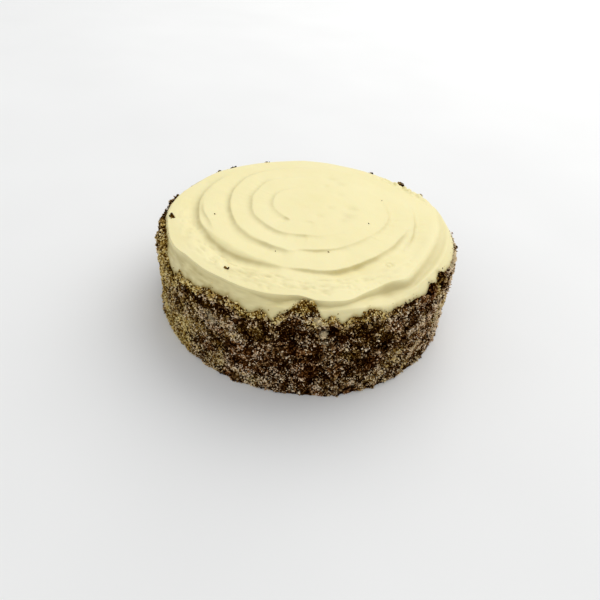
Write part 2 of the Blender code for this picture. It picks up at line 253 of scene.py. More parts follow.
def hump(angle, centre, half_width):
    """1 at the centre angle, falling smoothly to 0 at half_width degrees to either side."""
    away = np.abs((angle - centre + 180) % 360 - 180)
    return np.where(away < half_width, np.cos(np.radians(90 * np.minimum(away / half_width, 1))) ** 2, 0.0)


def humps(angle, entries):
    return sum(size * hump(angle, centre, half_width) for centre, half_width, size in entries)


def rise(low, high, value):
    """0 at low, 1 at high and a smooth curve between them. low may be the greater one."""
    share = np.clip((value - low) / (high - low), 0, 1)
    return share * share * (3 - 2 * share)


def bell(away):
    """1 at 0, falling smoothly to either side."""
    return np.exp(-(away**2))


def unit(vectors):
    return vectors / np.linalg.norm(vectors, axis=-1, keepdims=True)


def random_at(i, j, k, seed):
    """A fixed random number from 0 to 1 for each lattice point."""
    mixed = (i * 73856093) ^ (j * 19349663) ^ (k * 83492791) ^ (seed * 40503 + 977)
    mixed = (mixed ^ (mixed >> 13)) & 0xFFFFFFFF
    mixed = (mixed * 1274126177) & 0xFFFFFFFF
    mixed = (mixed ^ (mixed >> 16)) & 0xFFFFFFFF
    return (mixed & 0xFFFFFF) / 0xFFFFFF


def noise(points, size, seed, octaves=1):
    """Smooth noise about 0, with features of the given size in millimetres."""
    total = np.zeros(len(points))
    for octave in range(octaves):
        scaled = points / size * 2**octave + 31.7 * octave
        cell = np.floor(scaled).astype(np.int64)
        part = scaled - cell
        part = part * part * (3 - 2 * part)
        value = 0
        for corner in range(8):
            step = np.array([corner & 1, corner >> 1 & 1, corner >> 2 & 1])
            weight = np.prod(np.where(step, part, 1 - part), axis=1)
            value = value + weight * random_at(*(cell + step).T, seed + octave)
        total += (2 * value - 1) * 0.5**octave
    return total


def lumps(points, size, seed, reach=0.72):
    """1 in the middle of each of many scattered lumps, falling to 0 at reach times their spacing."""
    scaled = points / size
    cell = np.floor(scaled).astype(np.int64)
    nearest = np.full(len(points), 9.0)
    for corner in range(27):
        near = (cell + np.array([corner % 3 - 1, corner // 3 % 3 - 1, corner // 9 - 1])).T
        spot = np.stack([near[axis] + random_at(*near, seed + axis) for axis in range(3)], 1)
        nearest = np.minimum(nearest, ((scaled - spot) ** 2).sum(1))
    return np.clip(1 - np.sqrt(nearest) / reach, 0, 1)


def around(angle, knots):
    """The value at each angle of a smooth closed curve through (angle, value) knots."""
    place, value = np.array(sorted(knots)).T
    place = np.concatenate([place[-2:] - 360, place, place[:2] + 360])
    value = np.concatenate([value[-2:], value, value[:2]])
    fine = np.arange(-12, 372, 0.25)
    weight = bell(np.arange(-8, 8.1) / 4 / 0.8)
    curve = np.convolve(np.interp(fine, place, value), weight / weight.sum(), "same")
    return np.interp(np.asarray(angle) % 360, fine, curve)


def whole_turn(count):
    """Evenly spaced angles."""
    return np.arange(count) * 360 / count


def angle_of(x, y):
    return np.degrees(np.arctan2(y, x)) % 360


def polar(radius, angle):
    """x and y."""
    turn = np.radians(angle)
    return radius * np.cos(turn), radius * np.sin(turn)


def ring_of(radius, angle):
    """Points of a level ring."""
    return np.stack([*polar(radius, angle), 0 * angle], -1)


def to_world(x, y, z):
    """Metres from millimetres about the middle of the top, which shifts to the foot's middle lower down."""
    level = np.clip(z / RIM_HEIGHT, 0, 1)
    x = x + FOOT_CENTRE[0] + TOP_SHIFT[0] * level
    y = y + FOOT_CENTRE[1] + TOP_SHIFT[1] * level
    return np.stack([x * MM, y * MM, z * MM], -1)


def edge_radius(angle):
    ring = ring_of(90, angle).reshape(-1, 3)
    return around(angle, EDGE) + 0.12 * noise(ring, 4.0, 14, 2).reshape(np.shape(angle))


def stroke_curves():
    """For each stroke its turned angles at whole degrees, and its radius, depth and two reaches there."""
    curves = []
    for number, (scale, stroke) in enumerate(STROKES):
        knots = []
        for knot in stroke:
            knots.append(knot if len(knot) == 5 else (*knot, *knots[-1][3:]))
        knots = np.array(knots, float)
        turned = np.arange(knots[0, 0], knots[-1, 0] + 1)
        rows = []
        for column, spread in ((1, 3.2), (2, 1.4), (3, 2.5), (4, 2.5)):
            row = np.interp(turned, knots[:, 0], knots[:, column])
            weight = bell(np.arange(-9, 10) / spread)
            rows.append(np.convolve(np.pad(row, 9, mode="edge"), weight / weight.sum(), "valid"))
        ring = np.stack([*polar(1, turned), 0.02 * turned], 1) * rows[0][:, None]
        rows[0] = rows[0] + 0.22 * noise(ring, 5.0, 33 + number, 2)
        rows[1] = rows[1] * scale * (1 + 0.2 * noise(ring, 7.0, 63 + number, 2))
        curves.append((turned, rows))
    return curves


CURVES = stroke_curves()


def stroke_offsets(x, y):
    """For points of the top: distance outwards from each stroke's line, its depth and its two reaches."""
    x, y = x - SWIRL_CENTRE[0], y - SWIRL_CENTRE[1]
    angle, radius = angle_of(x, y), np.hypot(x, y)
    for turned, rows in CURVES:
        for turn in range(int(turned[0] // 360), int(turned[-1] // 360) + 1):
            here = angle + 360 * turn
            inside = (here >= turned[0]) & (here <= turned[-1])
            if inside.any():
                line, depth, inner, outer = (np.interp(here, turned, row) for row in rows)
                yield radius - line, np.where(inside, depth, 0), inner, outer


def swirl(x, y):
    """Height of the spatula's strokes, and the painted shade in their creases.

    Each stroke falls steeply at its line, eases off outside it and then climbs back gently.
    """
    height = np.zeros_like(x)
    crease = np.zeros_like(x)
    for away, depth, inner, outer in stroke_offsets(x, y):
        outer = outer * RUN_OUT
        before = np.clip(1 + away / inner, 0, 1)
        after = np.clip(away / outer, 0, 1)
        eased = inner * (before - np.sin(np.pi * before) / np.pi)
        run_out = outer * (1 - (1 - after) ** 3) * 2 / 3
        fall = (eased + run_out) / (inner + outer * 2 / 3)
        climb = np.clip((away - outer) / CLIMB, 0, 1)
        swell = (np.clip(1 + (away + inner) / SWELL, 0, 1) ** 2 - rise(0, 1, climb)) * (away < outer + CLIMB)
        height += depth * (SWELL_SHARE * swell - fall * (1 - climb) ** 1.5)
        # Painted shade in the stroke's crease, wider outside its line
        crease += 1.2 * depth * bell(away / np.where(away < 0, 0.9, 2.0))
    return height, crease


def dents_height(x, y):
    """Height of the dents, the ring mark and the pits, and the painted shade in the dents and the ring mark.
    """
    height = np.zeros_like(x)
    for angle, radius, half_width, depth in DENTS:
        spot = SWIRL_CENTRE + polar(radius, angle)
        height -= depth * np.exp(-((x - spot[0]) ** 2 + (y - spot[1]) ** 2) / half_width**2 * 1.5)
    # Painted shade in the dents, as deep as they are
    crease = -0.9 * height
    mark_angle, radius, own = RING_MARK
    spot = polar(radius, mark_angle)
    mark = bell((np.hypot(x - spot[0], y - spot[1]) - own) / 0.65)
    height -= 0.6 * mark
    for place, out, size, depth in PITS:
        angle = 228 + 100 * place
        if abs(angle - mark_angle) >= 6:
            spot = polar(71.5 + 14 * out, angle)
            near = np.hypot(x - spot[0], y - spot[1]) / (0.7 + 0.9 * size**2)
            height -= np.where(near < 3, (0.2 + 0.5 * depth) * bell(near), 0)
    return height, crease + 0.7 * mark


def top_height(x, y):
    """Height of the cream's top, and the painted shade on it."""
    angle = angle_of(x, y)
    radius = np.hypot(x, y)
    inset = edge_radius(angle) - radius
    share = radius / RIM_RADIUS
    points = np.stack([x, y, np.zeros_like(x)], 1)
    wander = 0.26 * noise(points, 30, 3, 2) + 0.1 * noise(points, 9, 5, 2)
    # Rough flecks along the band outside the swirl, in front and on the left
    swept = np.stack([np.radians(angle) * 30, radius + 0.03 * angle, 0 * radius], 1)
    drag = noise(swept, 2.0, 8, 2) * rise(68, 72, radius) * rise(86, 80, radius) * hump(angle, 250, 105)
    # and a ragged rim at the back on the right
    ragged = 1.5 * noise(points, 2.2, 19, 2) * hump(angle, 40, 24) * rise(8, 2, inset)
    strokes, crease = swirl(x, y)
    dents, mark = dents_height(x, y)
    slope = RISE_TO_RIGHT * x - FALL_TO_BACK * y
    height = ragged + RIM_HEIGHT + slope + DOME * (1 - share**2) + share**2 * humps(angle, LIFTS)
    height = height + (strokes + 0.5 * drag) * rise(0, 7, inset) + dents * rise(0.5, 4, inset)
    height = height + wander * rise(0, 8, inset)
    # Painted shade of the strokes, dents and ring mark, and in the hollows of the rough flecks
    return height, (crease + 2.4 * np.maximum(-drag, 0)) * rise(0, 7, inset) + mark


def round_corners(points, times):
    """Cuts the corners of many open lines at once. points is (lines, points, coordinates)."""
    for _ in range(times):
        cut = np.empty((points.shape[0], 2 * points.shape[1] - 2, points.shape[2]))
        cut[:, 0::2] = 0.75 * points[:, :-1] + 0.25 * points[:, 1:]
        cut[:, 1::2] = 0.25 * points[:, :-1] + 0.75 * points[:, 1:]
        cut[:, 0] = points[:, 0]
        cut[:, -1] = points[:, -1]
        points = cut
    return points


def shoulder_start(angle):
    """Radius and height of the point where the shoulder's profile starts."""
    base = edge_radius(angle) - EDGE_INSET
    return base, top_height(*polar(base, angle))[0]


def shoulder_lines(angle):
    """A line down the shoulder at each angle. Its points are (out, drop, painted shade, distance along it).
    """
    tables = STEP, STEP_WIDTH, LIP_DROP, BEAD, LIP_OUT
    step, width, lip, bead, bulge = (around(angle, knots) for knots in tables)
    reach = CREAM_SIDE - edge_radius(angle)
    zero = np.zeros_like(angle)
    ring = ring_of(90, angle)
    drag = 0.07 * noise(ring, 4.0, 11, 2) + 0.25 * noise(ring, 15, 12)
    step = step * (1 + 0.08 * noise(ring, 9, 15, 2))
    soft = rise(1.9, 3.0, width)  # 1 where the step is wide and soft
    onset = soft * hump(angle, 303, 12)  # where that begins, in front
    run = reach + bulge - 2.4 - width  # the apron's width
    dark = np.minimum(step * 0.75, 2.2) * (1 + 0.4 * soft + 0.4 * onset)  # how much shade is painted into the step
    edge = EDGE_INSET
    controls = [
        (zero, zero, zero),
        (zero + 0.5 * edge, zero + 0.02, zero),
        (edge - 0.1 - 0.3 * soft + 0.2 * onset, 0.02 * step + 0.02, zero),
        (edge + (0.12 + 0.18 * soft - 0.14 * onset) * width, (0.26 + 0.1 * onset) * step,
         (0.5 + 0.45 * onset) * dark),
        (edge + (0.5 + 0.1 * soft) * width, 0.74 * step, dark),
        (edge + (0.8 + 0.1 * soft) * width, 0.98 * step + 0.1 * drag, dark),
        (edge + (1.3 - 0.1 * soft) * width, 1.02 * step + 0.3 * drag, (0.4 + 0.3 * soft) * dark),
        (edge + width + (0.42 + 0.1 * soft) * run, step + 0.42 * (lip - step) - bead + drag, 0.1 * dark),
        (edge + width + (0.75 + 0.03 * soft) * run, step + 0.75 * (lip - step) - 0.5 * bead + drag, zero),
        (edge + width + run, lip + drag, zero),
        (edge + reach + bulge - 0.9, lip + 2.0, zero),
        (edge + reach + 0.8 * bulge, lip + 5.6, zero + 0.4),
        (edge + reach - 0.2, zero + 20.0, zero + 0.4),
    ]
    lines = round_corners(np.stack([np.stack(control, 1) for control in controls], 1), 2)
    piece = np.hypot(np.diff(lines[..., 0], axis=1), np.diff(lines[..., 1], axis=1))
    distance = np.concatenate([np.zeros((len(angle), 1)), np.cumsum(piece, axis=1)], 1)
    return np.concatenate([lines, distance[..., None]], 2)


def on_shoulder(angle, distance):
    """Radius and height of the cream at (rows, angles) of distances down it, and how it faces: out and up."""
    profiles = shoulder_lines(angle)
    base, crest = shoulder_start(angle)

    def at(where):
        out, drop = (
            np.array([np.interp(d, p[:, 3], p[:, column]) for d, p in zip(where.T, profiles)]).T
            for column in (0, 1)
        )
        return out, drop + np.maximum(where - profiles[:, -1, 3], 0)

    out, drop = at(distance)
    before, after = at(np.maximum(distance - 0.8, 0)), at(distance + 0.8)
    along = np.stack([after[0] - before[0], after[1] - before[1]])
    along /= np.hypot(*along)
    return base + out, crest - drop, along[1], along[0]


def crumb_line(angle):
    """How far down the shoulder the crumbs begin."""
    ring = ring_of(94, angle)
    line = around(angle, LINE) + 0.7 * noise(ring, 3.6, 21, 2) + 0.6 * noise(ring, 1.7, 25, 2)
    return np.maximum(line, 1.2)


def mesh_object(name, points, faces, material, smooth=True, **attributes):
    """A mesh object from an array of points, arrays of triangles or quads and values for each point."""
    mesh = bpy.data.meshes.new(name)
    corners = [face for block in faces for face in block.tolist()]
    mesh.from_pydata(points.tolist(), [], corners, shade_flat=not smooth)
    mesh.validate()
    mesh.materials.append(material)
    for key, values in attributes.items():
        mesh.attributes.new(key, "FLOAT", "POINT").data.foreach_set("value", np.asarray(values, np.float32))
    piece = bpy.data.objects.new(name, mesh)
    bpy.context.scene.collection.objects.link(piece)
    return piece


def band(first, second, count):
    """Quads between two rings of count points each."""
    i = np.arange(count)
    j = (i + 1) % count
    return np.stack([first + i, second + i, second + j, first + j], 1)


def faces_between(rings):
    """Quads and triangles between rings. The next ring has as many points, twice as many, or only one."""
    quads, triangles = [], []
    first = 0
    for ring, following in zip(rings, rings[1:]):
        count = len(ring)
        second = first + count
        i = np.arange(count if count > 1 else len(following))
        j = (i + 1) % len(i)
        if len(following) == count:
            quads.append(band(first, second, count))
            corners = []
        elif count == 1:
            corners = [(first + 0 * i, second + i, second + j)]
        elif len(following) == 1:
            corners = [(first + i, second + 0 * i, first + j)]
        else:
            out, beyond = second + 2 * i, second + 2 * j
            corners = [
                (first + i, out, out + 1), (first + i, out + 1, first + j), (first + j, out + 1, beyond),
            ]
        triangles += [np.stack(triple, 1) for triple in corners]
        first = second
    return [np.concatenate(quads), np.concatenate(triangles)]


def ring_radii():
    """Radii of the top's rings at every angle, closer together where they meet a stroke's steep side."""
    angle = whole_turn(SEGMENTS)[:, None]
    samples = np.linspace(0, 1, 360)
    radius = samples * (edge_radius(angle) - EDGE_INSET)
    crowd = np.ones_like(radius)
    for away, depth, *_ in stroke_offsets(*polar(radius, angle)):
        crowd += 2.4 * rise(0, 0.8, depth) * bell((away - 0.2) / 1.5)
    crowd += rise(0.96, 1, samples)
    total = np.cumsum((crowd[:, 1:] + crowd[:, :-1]) / 2, axis=1)
    total = np.concatenate([np.zeros((SEGMENTS, 1)), total], 1) / total[:, -1:]
    levels = np.linspace(0, 1, TOP_RINGS + 1)[1:]
    return np.array([np.interp(levels, t, r) for t, r in zip(total, radius)]).T


def cream_piece(material):
    """The whole cream: top, edge, shoulder, side and foot."""
    rings, creases = [], []

    def add_ring(x, y, z, crease):
        rings.append(to_world(x, y, z))
        creases.append(crease)

    middle = np.zeros(1)
    add_ring(middle, middle, *top_height(middle, middle))
    for ring in ring_radii():
        radius = ring[:: next((step for limit, step in THINNED if ring.mean() < limit), 1)]
        x, y = polar(radius, whole_turn(len(radius)))
        add_ring(x, y, *top_height(x, y))
    angle = whole_turn(SEGMENTS)
    base, crest = shoulder_start(angle)
    line = crumb_line(angle)
    apron = around(angle, APRON)
    for out, drop, crease, distance in shoulder_lines(angle).transpose(1, 2, 0)[1:]:
        x, y = polar(base + out, angle)
        streak = noise(np.stack([x / 5, y / 5, distance / 1.5], 1), 1, 17, 2)
        streak = streak * rise(2, 5, distance) * rise(0, 2, line - distance) * apron
        # Painted shade on the apron, streaked along the spatula's drag
        apron_shade = (1.3 * apron + 0.8 * streak) * rise(1.5, 4, distance)
        # Painted shade on the cream just above the crumb line
        shade_above_crumbs = CRUMB_LINE_SHADE * bell(np.minimum(distance - line, 0) / CRUMB_LINE_SHADE_REACH)
        x, y = polar(base + out + 0.06 * streak, angle)
        add_ring(x, y, crest - drop + 0.06 * streak, crease + apron_shade + shade_above_crumbs)
    # The side below the coat, with painted shade at full strength
    for inset, height in ((0.4, 30.0), (0.4, 1.0), (1.6, 0.0)):
        add_ring(*polar(CREAM_SIDE - inset, angle), np.full(SEGMENTS, height), np.full(SEGMENTS, CRUMB_LINE_SHADE))
    add_ring(middle, middle, middle, middle)
    points, crease = np.concatenate(rings), np.concatenate(creases)
    return mesh_object("cream", points, faces_between(rings), material, crease=crease)


LINE_ANGLES = np.arange(0, 361, 0.5)
LINE_HEIGHTS = on_shoulder(LINE_ANGLES, crumb_line(LINE_ANGLES)[None])[1][0]


def patches(flat, entries):
    """The share of the patches in a table, from 0 to 1, at points in millimetres."""
    angle = angle_of(*flat.T[:2])
    share = np.zeros(len(flat))
    for centre, height, half_width, half_height, most in entries:
        level = np.clip(np.abs(flat[:, 2] - height) / half_height, 0, 1)
        share = np.maximum(share, most * hump(angle, centre, half_width) ** 0.5 * (1 - level**2))
    return share


def golden_share(flat):
    """How golden the crumbs are, or below 0 how rusty: in patches, and along the coat's top edge in front."""
    angle = angle_of(*flat.T[:2])
    below = np.maximum(np.interp(angle, LINE_ANGLES, LINE_HEIGHTS) - flat[:, 2], 0)
    top = bell(below / 3.6) * rise(190, 215, angle) * (0.7 - 0.55 * rise(296, 312, angle))
    share = patches(flat, GOLDEN) - 1.2 * patches(flat, RUSTY) + top + 0.45 * noise(flat, 11, 91, 2)
    return np.clip(share, -1, 1)


def lump_share(flat):
    """1 in the middle of each lump of crumbs and 0 between lumps, the same right through the coat."""
    turn = np.arctan2(flat[:, 1], flat[:, 0])
    return lumps(np.stack([94 * np.cos(turn), 94 * np.sin(turn), flat[:, 2]], 1), 6.0, 40)


def shade_share(flat):
    """How much darker, below 0, or paler the crumbs are than usual: in patches, some of them painted light,
    with painted shade between lumps and darker towards the foot.
    """
    zones = patches(flat, PALE) - 1.3 * patches(flat, DARK) + patches(flat, SMEARS)
    upper = rise(20, 50, flat[:, 2])
    uneven = 0.3 * noise(flat, 9, 97, 2) + 0.35 * noise(flat, 3.6, 99)
    # Painted shade between the lumps, stronger higher up, and the crumbs darker towards the foot
    uneven = uneven + (0.5 + 0.9 * upper) * (lump_share(flat) - 0.26) - 0.2 + 0.2 * upper
    return np.clip(uneven + zones, -1, 1.4)


def smear_share(flat):
    """How much of the coat is smeared over with cream, from 0 to 1."""
    smears = patches(flat, SMEARS)
    return np.clip(smears + 0.5 * noise(flat, 4, 93, 2) * (smears > 0), 0, 1)


def coat_radius(height):
    """Mean radius of the crumbs' face."""
    return COAT_FOOT + height / COAT_HEIGHT * (COAT_TOP - COAT_FOOT)


def coat_grid():
    """The crumbs' face as a grid of points in millimetres, top edge to foot, and how raised each point is."""
    angle = whole_turn(COAT_SEGMENTS)
    line = crumb_line(angle)
    last = shoulder_lines(angle)[:, -1]
    length = last[:, 3] + shoulder_start(angle)[1] - last[:, 1] - line
    depth = np.linspace(0, 1, COAT_ROWS)[:, None] * length
    inner, height, facing_out, facing_up = on_shoulder(angle, line + depth)
    flat = np.stack([*polar(inner, angle), height], -1).reshape(-1, 3)
    large = lump_share(flat)
    nuggets = lumps(flat, 3.2, 50)
    grains = lumps(flat, 1.7, 60, 0.8)
    crowd = rise(-0.9, 0.4, noise(flat, 16, 70, 2))
    relief = (2.7 * large**0.8 * crowd + 1.4 * nuggets**0.8 + 0.7 * grains - 1.82).reshape(depth.shape)
    start = 1 - np.exp(-depth / 0.6)
    clump = humps(angle, EDGE_CLUMPS) * bell((depth - 2.0) / 3.4)
    foot = (0.5 + humps(angle, FOOT_CLUMPS)) * bell(height / 3.0)
    thick = (1.4 + 0.4 * relief + clump) * start + 0.1
    height = height + thick * facing_up
    height[-1] = 0
    thin = inner + thick * facing_out
    face = coat_radius(height) + relief * (0.45 + 0.55 * rise(0, 4, height)) + foot
    radius = thin + (face - thin) * rise(1.5, 9, depth) * rise(0.3, 0.9, facing_out)
    radius = np.maximum(radius, inner + 0.35 * facing_out * start)
    raised = 0.55 * nuggets + 0.45 * grains + 0.25 * large
    return np.stack([*polar(radius, angle), np.maximum(height, 0)], -1), raised


def core_piece(grid, raised, material):
    """The coat's body: its uneven outer face, closed by an inner face that lies inside the cream."""
    rows, count, _ = grid.shape
    flat = grid.reshape(-1, 3)
    angle = whole_turn(count)
    inner = CREAM_SIDE - BURIED
    head = np.minimum(np.hypot(grid[0, :, 0], grid[0, :, 1]) - 1.2, inner)
    points = np.concatenate([
        to_world(*flat.T), to_world(*polar(inner, angle), 0 * angle),
        to_world(*polar(head, angle), grid[0, :, 2] - 2),
    ])
    quads = [band(row * count, (row + 1) % (rows + 2) * count, count) for row in range(rows + 2)]
    shares = dict(relief=raised, golden=golden_share(flat), smear=smear_share(flat), shade=shade_share(flat))
    shares = {name: np.concatenate([share, np.zeros(2 * count)]) for name, share in shares.items()}
    return mesh_object("crumb_core", points, [np.concatenate(quads)], material, **shares)


def icosphere(levels):
    """Points and triangles of a unit sphere."""
    golden = (1 + 5**0.5) / 2
    corners = np.array([(-1, golden, 0), (1, golden, 0), (-1, -golden, 0), (1, -golden, 0)])
    points = np.concatenate([np.roll(corners, shift, 1) for shift in range(3)])
    faces = np.array([
        (0, 11, 5), (0, 5, 1), (0, 1, 7), (0, 7, 10), (0, 10, 11), (1, 5, 9), (5, 11, 4), (11, 10, 2),
        (10, 7, 6), (7, 1, 8), (3, 9, 4), (3, 4, 2), (3, 2, 6), (3, 6, 8), (3, 8, 9), (4, 9, 5), (2, 4, 11),
        (6, 2, 10), (8, 6, 7), (9, 8, 1),
    ])
    for _ in range(levels):
        middles = {}
        points = list(points)

        def middle(a, b):
            key = (min(a, b), max(a, b))
            if key not in middles:
                middles[key] = len(points)
                points.append((points[a] + points[b]) / 2)
            return middles[key]

        split = []
        for a, b, c in faces:
            ab, bc, ca = middle(a, b), middle(b, c), middle(c, a)
            split += [(a, ab, ca), (b, bc, ab), (c, ca, bc), (ab, bc, ca)]
        points = np.array(points)
        faces = np.array(split)
    return unit(points), faces


def octahedron():
    faces = (0, 2, 4), (2, 1, 4), (1, 3, 4), (3, 0, 4), (2, 0, 5), (1, 2, 5), (3, 1, 5), (0, 3, 5)
    return np.stack([np.eye(3), -np.eye(3)], 1).reshape(6, 3), np.array(faces)


def crumb_shapes(levels, roughness):
    """A few uneven crumb shapes of about unit radius. levels is None for the plainest ones."""
    sphere, faces = octahedron() if levels is None else icosphere(levels)
    shapes = []
    for number in range(CRUMB_SHAPES):
        bumps = noise(sphere * 10, 9, 100 + number, 2)
        spread = 1 + roughness * bumps + random.normal(0, roughness * 0.3, len(sphere))
        shapes.append(sphere * np.clip(spread, 0.45, 1.7)[:, None])
    return np.array(shapes), faces


def random_turns(count):
    """Random rotations, as matrices."""
    w, x, y, z = unit(random.normal(size=(count, 4))).T
    return np.array([
        (1 - 2 * (y * y + z * z), 2 * (x * y - w * z), 2 * (x * z + w * y)),
        (2 * (x * y + w * z), 1 - 2 * (x * x + z * z), 2 * (y * z - w * x)),
        (2 * (x * z - w * y), 2 * (y * z + w * x), 1 - 2 * (x * x + y * y)),
    ]).transpose(2, 0, 1)


def crumbs_piece(name, centres, sizes, levels, roughness, material):
    """Crumbs of the given sizes, in millimetres, at the given places in metres, joined as one mesh."""
    shapes, faces = crumb_shapes(levels, roughness)
    count = len(centres)
    stretch = [np.full(count, 1.15), random.uniform(0.5, 1, count), random.uniform(0.4, 0.9, count)]
    chosen = random.integers(0, len(shapes), count)
    local = shapes[chosen] * np.stack(stretch, 1)[:, None, :] * (sizes * MM)[:, None, None]
    points = np.einsum("nij,nvj->nvi", random_turns(count), local) + centres[:, None, :]
    points[..., 2] = np.maximum(points[..., 2], CLEARANCE)
    per = shapes.shape[1]
    all_faces = (faces[None] + per * np.arange(count)[:, None, None]).reshape(-1, 3)
    golden, shade = (np.repeat(share(centres / MM), per) for share in (golden_share, shade_share))
    return mesh_object(name, points.reshape(-1, 3), [all_faces], material, False, golden=golden, shade=shade)


def on_grid(grid, row, column):
    """Points and outward directions of the coat's face at fractional grid places."""
    rows, count, _ = grid.shape
    i = np.clip(np.floor(row).astype(int), 0, rows - 2)
    j = np.floor(column).astype(int) % count
    u = (row - i)[:, None]
    v = (column - np.floor(column))[:, None]
    k = (j + 1) % count
    place = (1 - u) * (1 - v) * grid[i, j] + (1 - u) * v * grid[i, k]
    place = place + u * (1 - v) * grid[i + 1, j] + u * v * grid[i + 1, k]
    i0, i1 = np.clip(i - 1, 0, rows - 1), np.clip(i + 2, 0, rows - 1)
    j0, j1 = (j - 1) % count, (j + 2) % count
    normal = np.cross(grid[i, j1] - grid[i, j0], grid[i0, j] - grid[i1, j])
    normal /= np.linalg.norm(normal, axis=1)[:, None] + 1e-9
    return place, normal


def resting(spot, sizes):
    """Crumbs' places in metres, with none of them sunk into what the cake stands on."""
    spot[:, 2] = np.maximum(spot[:, 2], sizes * 0.6)
    return to_world(*spot.T), sizes


def scattered(grid, count, lift, size_range, keep):
    """Random places on the coat's face, and crumb sizes. keep(points) is the chance that a place is used."""
    rows, segments, _ = grid.shape
    row = random.uniform(0, rows - 1, count * 3)
    place, normal = on_grid(grid, row, random.uniform(0, segments, count * 3))
    chosen = np.flatnonzero(random.uniform(0, 1, len(place)) < keep(place))[:count]
    sizes = random.uniform(0, 1, len(chosen)) ** 1.6 * (size_range[1] - size_range[0]) + size_range[0]
    spot = place[chosen] + normal[chosen] * (sizes * random.uniform(*lift, len(chosen)))[:, None]
    return resting(spot, sizes)


def clumps(grid, count, each, reach_range, down):
    """Clumps of grains, each a rough dome of them on the coat's face, between two shares of the way down."""
    row = random.uniform(*down, count) * (grid.shape[0] - 1)
    place, normal = on_grid(grid, row, random.uniform(0, grid.shape[1] - 1, count))
    reach = random.uniform(*reach_range, count)[:, None, None]
    way = unit(random.normal(size=(count, each, 3)))
    inward = np.minimum((way * normal[:, None]).sum(2), 0)
    way -= 2 * inward[..., None] * normal[:, None]
    way = way * reach * random.uniform(0.7, 1, (count, each, 1))
    spot = (place[:, None] - 0.3 * reach * normal[:, None] + way).reshape(-1, 3)
    spot = spot[random.uniform(0, 1, len(spot)) > 0.9 * smear_share(spot)]
    return resting(spot, random.uniform(0.28, 0.72, len(spot)))


def stragglers(count, size_range):
    """Grains on the bare cream just above the crumb line, fewer the further up."""
    angle = np.sort(random.uniform(0, 360, count))
    above = random.exponential(0.7, count) * (1 + 3 * hump(angle, 352, 24))
    distance = np.maximum(crumb_line(angle) - above, 1.2)
    radius, height, facing_out, facing_up = (row[0] for row in on_shoulder(angle, distance[None]))
    sizes = random.uniform(*size_range, count)
    return to_world(*polar(radius + 0.4 * sizes * facing_out, angle), height + 0.4 * sizes * facing_up), sizes


class Looks:
    """A material and its nodes. An input is a value or another node's output. _1 is input number 1."""

    def __init__(self, name):
        self.material = bpy.data.materials.new(name)
        self.material.use_nodes = True
        self.tree = self.material.node_tree
        self.tree.nodes.clear()
        self.shader = self.tree.nodes.new("ShaderNodeBsdfPrincipled")
        output = self.tree.nodes.new("ShaderNodeOutputMaterial")
        self.tree.links.new(self.shader.outputs["BSDF"], output.inputs["Surface"])

    def connect(self, node, inputs):
        for key, value in inputs.items():
            socket = node.inputs[int(key[1:]) if key[1:].isdigit() else key.replace("_", " ")]
            if isinstance(value, bpy.types.NodeSocket):
                self.tree.links.new(value, socket)
            else:
                socket.default_value = value

    def finish(self, **inputs):
        self.connect(self.shader, inputs)
        return self.material

    def add(self, kind, settings=None, **inputs):
        """The outputs of a new node."""
        node = self.tree.nodes.new("ShaderNode" + kind)
        for key, value in (settings or {}).items():
            setattr(node, key, value)
        self.connect(node, inputs)
        return node.outputs

    def attribute(self, name):
        return self.add("Attribute", {"attribute_name": name})["Fac"]

    def noise(self, where, scale, detail=2.0, roughness=0.5):
        return self.add("TexNoise", Vector=where, Scale=scale, Detail=detail, Roughness=roughness)["Fac"]

    def math(self, operation, first, second, clamp=False):
        return self.add("Math", {"operation": operation, "use_clamp": clamp}, _0=first, _1=second)[0]

    def plus(self, base, value, factor):
        """base + value * factor"""
        return self.add("Math", {"operation": "MULTIPLY_ADD"}, _0=value, _1=factor, _2=base)[0]

    def spread(self, value, to_low=0.0, to_high=1.0, low=0.0, high=1.0):
        limits = {"From_Min": low, "From_Max": high, "To_Min": to_low, "To_Max": to_high}
        return self.add("MapRange", Value=value, **limits)["Result"]

    def mix(self, share, first, second):
        return self.add("Mix", {"data_type": "RGBA"}, Factor=share, _6=first, _7=second)[2]

    def bump(self, height, strength, distance, **inputs):
        return self.add("Bump", Strength=strength, Distance=distance, Height=height, **inputs)["Normal"]

    def ramp(self, value, places, colours):
        node = self.tree.nodes.new("ShaderNodeValToRGB")
        self.connect(node, {"Fac": value})
        elements = node.color_ramp.elements
        while len(elements) < len(places):
            elements.new(0.5)
        for element, place, colour in zip(elements, places, colours):
            element.position = place
            element.color = (*colour, 1)
        return node.outputs["Color"]


CREAM_COLOURS = ((0.88, 0.785, 0.412), (0.895, 0.803, 0.437), (0.905, 0.818, 0.462))
# The colour that the painted shade on the cream darkens towards
PAINTED_SHADE_COLOUR = (0.37, 0.275, 0.075, 1)
SMEAR_COLOUR = (0.56, 0.46, 0.28, 1)
# Crumb colours at these tones, darkest to palest: the usual ones, and those of rusty and golden patches
TONES = (0.05, 0.25, 0.45, 0.62, 0.8, 1.0)
BROWN = (
    (0.004, 0.0007, 0.0001), (0.021, 0.006, 0.0006), (0.088, 0.036, 0.008), (0.23, 0.122, 0.04),
    (0.53, 0.365, 0.185), (0.9, 0.745, 0.54),
)
RUST = (
    (0.008, 0.0014, 0.0002), (0.048, 0.014, 0.0015), (0.165, 0.06, 0.014), (0.34, 0.165, 0.058),
    (0.6, 0.385, 0.2), (0.92, 0.74, 0.54),
)
GOLD = (
    (0.014, 0.003, 0.0003), (0.066, 0.024, 0.001), (0.2, 0.105, 0.014), (0.38, 0.235, 0.045),
    (0.6, 0.43, 0.125), (0.9, 0.75, 0.36),
)
SHADE_WEIGHT = 0.19  # how much of a tone a full share of shade makes


